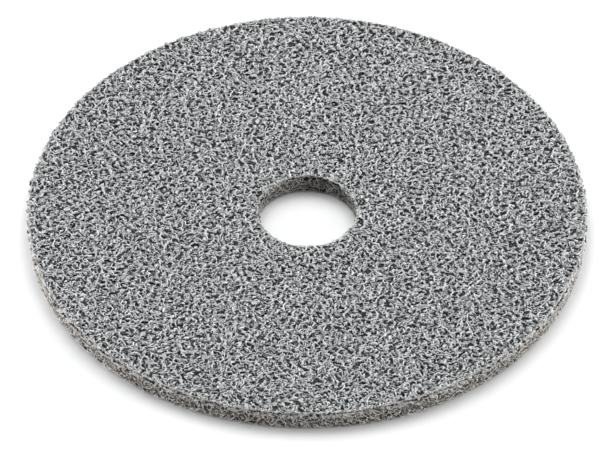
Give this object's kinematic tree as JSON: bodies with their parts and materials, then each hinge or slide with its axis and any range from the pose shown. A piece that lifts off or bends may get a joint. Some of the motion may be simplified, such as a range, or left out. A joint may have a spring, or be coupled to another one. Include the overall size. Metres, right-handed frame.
{
  "type": "abrasive fleece polishing wheel",
  "caption": "Flat non-woven abrasive fleece disc for light polishing and deburring, with a plain centre bore for an arbor",
  "frame": {"origin": "centre of the bore on the lower face, which lies on the floor", "axes": "+Z is the bore axis, from the lower face to the upper face; X and Y lie in the plane of the disc, which is the same all round"},
  "size_m": [0.125, 0.125, 0.0053],
  "materials": {
    "face_fleece": "matte",
    "core_fleece": "matte"
  },
  "bodies": {
    "root": {"bottom_face_ply": "face_fleece", "core_ply_1": "core_fleece", "core_ply_2": "core_fleece", "core_ply_3": "core_fleece", "core_ply_4": "core_fleece", "top_face_ply": "face_fleece"}
  },
  "joints": []
}
